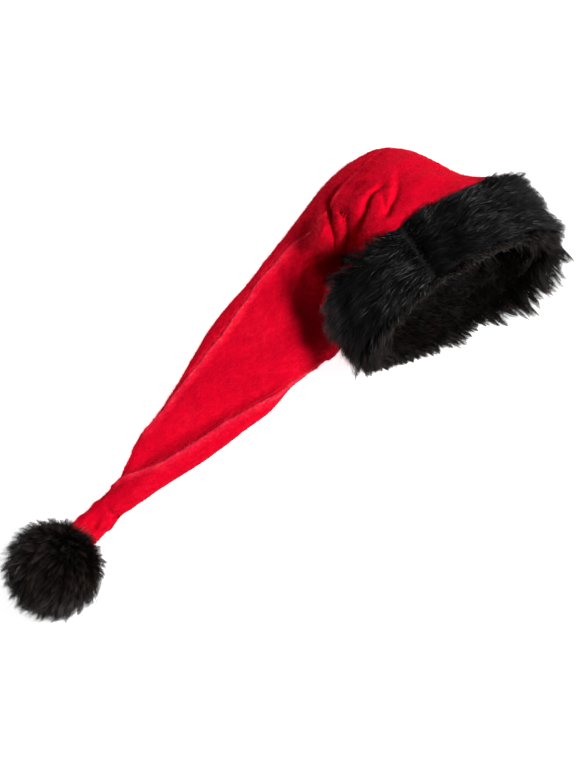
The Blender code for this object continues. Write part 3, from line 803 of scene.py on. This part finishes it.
# How the cuff's pile stands round the oval: degrees from its right end, the outer pile's length and how
# much it stands up, the length of the pile at the rim, and how many degrees the pile sweeps back over the
# cuff's back edge and forward beside the rim.
PILE_COLUMNS = ("degrees", "outer", "stand", "rim", "back", "forward")
PILE = (
    (0, 25, 1.2, 18, 30, 34),
    (25, 22, 0.95, 13, 30, 26),
    (50, 17, 0.6, 7, 18, 16),
    (75, 19, 0.62, 8, 24, 12),
    (98, 19, 0.65, 6, 18, 6),
    (112, 20, 0.75, 7, 42, 10),
    (125, 22, 0.8, 12, 56, 18),
    (140, 22, 0.8, 17, 50, 22),
    (155, 22, 0.95, 17, 30, 22),
    (170, 24, 1.1, 14, 10, 16),
    (185, 25, 1.1, 9, 5, 12),
    (200, 24, 1.0, 8, 5, 12),
    (215, 22, 0.9, 8, 5, 14),
    (232, 22, 0.8, 11, 5, 18),
    (255, 22, 0.8, 13, 5, 22),
    (272, 24, 0.9, 15, 5, 28),
    (290, 25, 0.9, 24, 8, 40),
    (310, 26, 1.0, 25, 12, 42),
    (335, 26, 1.15, 25, 20, 40),
    (360, 25, 1.2, 18, 30, 34),
)
FORWARD = np.array((0.0, -1.0, 0.0))


def pile_values(turn):
    table = np.array(PILE, float)
    degrees = np.degrees(np.mod(turn, 2.0 * math.pi))
    return {name: np.interp(degrees, table[:, 0], table[:, i]) for i, name in enumerate(PILE_COLUMNS)}


def cuff_flow(turn, points, along, pile):
    """The way the cuff's pile lies: away from the seam down both sides, and forward near the rim."""
    tangent = unit(
        np.stack(
            (-CUFF_HALF_WIDTH * np.sin(turn), np.zeros_like(turn), CUFF_HALF_HEIGHT * np.cos(turn)),
            axis=-1,
        )
    )
    turned = np.mod(turn - CUFF_SEAM_TURN, 2.0 * math.pi)
    sign = np.where(turned < CUFF_PARTED_TURN, 1.0, -1.0)
    flow = tangent * sign[:, None]
    leftness = ease((150.0 - points[:, 0]) / 90.0)
    swing = np.radians(4.0 + pile["forward"] * ease(1.0 - along / 44.0) + 14.0 * leftness)
    back = ease((along - 48.0) / 12.0)
    swing = swing * (1.0 - back) - np.radians(pile["back"]) * back
    return unit(flow * np.cos(swing)[:, None] + FORWARD * np.sin(swing)[:, None])


def jitter(vectors, amount, chance):
    return unit(vectors + chance.normal(size=vectors.shape) * amount)


def fur_mesh(name, roots, values, long_share, tufts, levels, width, chance, material):
    """Long strands in pointed tufts over a shorter, looser pile, and a few longer ones on their own.

    tufts is how many of the long strands lead one, and how strongly the others are drawn to them.
    """
    normals, flow, length, start, end, droop = values
    long = chance.random(len(roots)) < long_share
    alone = chance.random(len(roots)) < LONE_SHARE * long
    tone = chance.random(len(roots))
    length = length * np.where(long, LONG_LONGER, SHORT_SHORTER) * np.where(alone, LONE_LONGER, 1.0)
    paths = strand_paths(roots, normals, flow, length, start, end, droop, levels)
    for some, (share, pull), power in ((long & ~alone, tufts, 1.5), (~long, LOOSE_TUFTS, 1.3)):
        if some.any():
            paths[some], tuft = clumped(paths[some], roots[some], levels, share, pull, power, chance)
            tone[some] = 0.45 * tone[some] + 0.55 * chance.random(tuft.max() + 1)[tuft]
    paths, _ = clumped(paths, roots, levels, *WIDE_TUFTS, 1.6, chance)
    return strand_mesh(name, paths, normals, tone, levels, width, chance, material)


def cuff_fur(name, count, seed, zone, long_share, tufts, levels, width, material):
    chance = np.random.default_rng(SEED + seed)
    turn = chance.uniform(0.0, 2.0 * math.pi, count)
    pile = pile_values(turn)
    if zone == "outer":
        along = chance.uniform(2.0, CUFF_BAND, count)
        near_seam = np.abs(turn - CUFF_SEAM_TURN) * CUFF_HALF_WIDTH
        kept = chance.random(count) > np.exp(-((near_seam / 0.8) ** 2))
        points, normals = cuff_surface(turn, CUFF_THICK, along)
        flow = cuff_flow(turn, points, along, pile)
        length = pile["outer"] * chance.uniform(0.75, 1.1, count)
        length = length * (1.0 - 0.12 * ease((along - 46.0) / 16.0))
        parted = np.exp(-((near_seam / 2.6) ** 2))
        length = length * (1.0 - 0.5 * parted)
        left_back = ease((110.0 - points[:, 0]) / 50.0) * ease((along - 20.0) / 35.0)
        left_back *= ease((points[:, 2] - 85.0) / 40.0)
        stand = pile["stand"] * (1.0 - 0.55 * left_back)
        start = np.radians(chance.uniform(42.0, 75.0, count)) * stand * (1.0 - 0.5 * parted)
        end = np.radians(chance.uniform(-4.0, 24.0, count)) * stand
        droop = chance.uniform(0.5, 2.5, count)
    elif zone == "rim":
        out = chance.uniform(0.0, CUFF_THICK, count)
        along = -1.0 + 3.5 * (np.abs(out - CUFF_THICK / 2.0) / (CUFF_THICK / 2.0)) ** 2
        kept = np.ones(count, bool)
        points, plane = cuff_surface(turn, out, along)
        spread = ((out - 4.0) / 6.0)[:, None]
        normals = unit(FORWARD + plane * spread)
        flow = cuff_flow(turn, points, np.zeros(count), pile)
        hang = ease((CUFF_Z + 20.0 - points[:, 2]) / 60.0)
        flow = unit(flow + plane * 0.35 + np.array((0.25, -0.3, 0.0)) * hang[:, None])
        length = pile["rim"] * chance.uniform(0.65, 1.15, count)
        length = length * (1.0 + 0.28 * wobble(points, 24.0, SEED + 9))
        start = np.radians(chance.uniform(60.0, 95.0, count))
        end = np.radians(chance.uniform(20.0, 60.0, count))
        droop = chance.uniform(0.5, 5.0, count)
    else:
        along = chance.uniform(2.0, CUFF_BAND, count)
        kept = np.ones(count, bool)
        points, normals = cuff_surface(turn, 0.0, along)
        normals = -normals
        flow = unit(cuff_flow(turn, points, along, pile) * 0.7 + FORWARD)
        near_rim = 1.0 - ease(along / 32.0)
        length = (CUFF_INSIDE_PILE + CUFF_INSIDE_RIM_PILE * near_rim) * chance.uniform(0.7, 1.15, count)
        start = np.radians(chance.uniform(45.0, 85.0, count))
        end = np.radians(chance.uniform(5.0, 50.0, count))
        droop = chance.uniform(0.5, 2.0, count)
    drift = np.stack([wobble(points, 26.0, SEED + i) for i in range(3)], axis=-1)
    flow = jitter(flow + drift * 0.22, 0.10, chance)
    normals = jitter(normals, 0.08, chance)
    values = [v[kept] for v in (normals, flow, length, start, end, droop)]
    obj = fur_mesh(name, points[kept], values, long_share, tufts, levels, width, chance, material)
    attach(obj, "root")
    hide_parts("fur_cuff")


black_root = (0.0006, 0.0006, 0.0007)
under_fur = fur("black_fur_under", black_root, (0.0022, 0.0021, 0.0022), (0.005, 0.0047, 0.005), 0.06)
black_fur = fur("black_fur", black_root, (0.0035, 0.0033, 0.0035), (0.008, 0.0076, 0.0078), 0.13)
# The browner, lighter middles and tips are partly the fur's own brownish cast and partly painted backlight,
# the glow of thin strands with light behind them at the rim's lip and inside the cuff.
brown_and_backlit_fur = fur("black_fur_brown_and_backlit_tips", black_root, (0.0045, 0.0035, 0.0031), (0.018, 0.0125, 0.0095), 0.10)
pompom_root = (0.001, 0.0009, 0.0008)
pompom_look = fur("pompom_fur_look", pompom_root, (0.008, 0.0062, 0.0055), (0.034, 0.025, 0.021), 0.2)
backing_look = knit_backing("fur_backing")
backing = cuff_backing(backing_look)
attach(backing, "root")
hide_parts("fur_cuff")
# Name, strands, seed, zone, share of long strands, tufts, levels, width and material
cuff_fur("cuff_fur_outside", 38000, 1, "outer", 0.85, (0.045, 0.8), LONG_LEVELS, 0.30, black_fur)
cuff_fur("cuff_fur_under", 50000, 2, "outer", 0.0, LOOSE_TUFTS, SHORT_LEVELS, 0.42, under_fur)
cuff_fur("cuff_fur_rim", 26000, 3, "rim", 0.65, (0.022, 1.0), LONG_LEVELS, 0.30, brown_and_backlit_fur)
cuff_fur("cuff_fur_inside", 24000, 4, "inner", 0.3, (0.06, 0.6), SHORT_LEVELS, 0.38, brown_and_backlit_fur)


# Pompom


def pompom_core(material):
    ball = bmesh.new()
    bmesh.ops.create_icosphere(ball, subdivisions=4, radius=POMPOM_CORE - 1.0)
    points = np.array([vertex.co[:] for vertex in ball.verts])
    faces = np.array([[vertex.index for vertex in face.verts] for face in ball.faces])
    ball.free()
    points = points * (1.0 + 0.01 * wobble(points, 15.0, 8))[:, None]
    return add_mesh("pompom_core", points + POMPOM, [faces], material)


def pompom_fur(name, count, seed, long_share, tufts, levels, width, material):
    chance = np.random.default_rng(SEED + seed)
    normals = unit(chance.normal(size=(count * 2, 3)))
    normals = normals[normals @ POMPOM_STALK < math.cos(POMPOM_BARE_TURN)][:count]
    count = len(normals)
    roots = POMPOM + normals * (POMPOM_CORE - 1.5)
    combed = unit(normals * (normals @ POMPOM_STALK)[:, None] - POMPOM_STALK)
    drift = np.stack([wobble(roots, 22.0, SEED + 20 + i) for i in range(3)], axis=-1)
    flow = jitter(combed + drift * 0.35 + np.array((0.0, 0.0, -0.15)), 0.12, chance)
    flow = unit(flow - normals * np.sum(flow * normals, axis=1)[:, None])
    far_side = 0.5 - 0.5 * (normals @ POMPOM_STALK)
    length = (POMPOM_PILE + POMPOM_FAR_PILE * far_side) * chance.uniform(0.75, 1.12, count)
    start = np.radians(chance.uniform(48.0, 82.0, count))
    end = np.radians(chance.uniform(15.0, 62.0, count))
    droop = chance.uniform(0.2, 1.5, count)
    values = (jitter(normals, 0.08, chance), flow, length, start, end, droop)
    obj = fur_mesh(name, roots, values, long_share, tufts, levels, width, chance, material)
    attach(obj, "root")
    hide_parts("pompom")


core = pompom_core(backing_look)
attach(core, "root")
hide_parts("pompom")
# Name, strands, seed, share of long strands, tufts, levels, width and material
pompom_fur("pompom_fur_outside", 21000, 11, 0.9, (0.034, 1.0), LONG_LEVELS, 0.30, pompom_look)
pompom_fur("pompom_fur_under", 22000, 12, 0.0, LOOSE_TUFTS, SHORT_LEVELS, 0.42, brown_and_backlit_fur)


# Floor, light and camera


def add_floor():
    mesh = bpy.data.meshes.new("floor")
    corners = ((-1.0, -1.0), (1.0, -1.0), (1.0, 1.0), (-1.0, 1.0))
    mesh.from_pydata([(x * FLOOR_REACH, y * FLOOR_REACH, 0.0) for x, y in corners], [], [(0, 1, 2, 3)])
    floor = bpy.data.objects.new("floor", mesh)
    bpy.context.scene.collection.objects.link(floor)
    mesh.materials.append(floor_material())
    floor.location.z = -FLOOR_DROP


def add_light(name, place, aim, size, power):
    data = bpy.data.lights.new(name, "AREA")
    data.shape = "DISK"
    data.size = size
    data.energy = power
    light = bpy.data.objects.new(name, data)
    bpy.context.scene.collection.objects.link(light)
    light.location = place
    light.rotation_euler = (Vector(place) - Vector(aim)).to_track_quat("Z", "Y").to_euler()


def add_camera():
    """The camera stands high over the hat, turned so that the hat lies across the frame as photographed."""
    target = Vector((CAMERA_TARGET - DATUM) * MM)
    back = Vector((0.0, -math.cos(CAMERA_ELEVATION), math.sin(CAMERA_ELEVATION)))
    raised = Vector((0.0, math.sin(CAMERA_ELEVATION), math.cos(CAMERA_ELEVATION)))
    level = Vector((1.0, 0.0, 0.0))
    right = level * math.cos(CAMERA_ROLL) - raised * math.sin(CAMERA_ROLL)
    up = level * math.sin(CAMERA_ROLL) + raised * math.cos(CAMERA_ROLL)
    data = bpy.data.cameras.new("camera")
    data.lens = CAMERA_LENS
    data.sensor_width = 36.0
    data.clip_end = 60.0
    camera = bpy.data.objects.new("camera", data)
    bpy.context.scene.collection.objects.link(camera)
    matrix = Matrix((right, up, back)).transposed().to_4x4()
    matrix.translation = target + back * CAMERA_DISTANCE
    camera.matrix_world = matrix
    bpy.context.scene.camera = camera


add_floor()
add_light("key", KEY_PLACE, KEY_AIM, KEY_SIZE, KEY_POWER)
add_light("top", TOP_PLACE, TOP_AIM, TOP_SIZE, TOP_POWER)
add_camera()

world = bpy.data.worlds.new("studio")
world.use_nodes = True
world.node_tree.nodes["Background"].inputs["Color"].default_value = (1.0, 1.0, 1.0, 1.0)
world.node_tree.nodes["Background"].inputs["Strength"].default_value = WORLD_GLOW
bpy.context.scene.world = world
bpy.context.scene.view_settings.view_transform = "Standard"

bpy.context.view_layer.update()
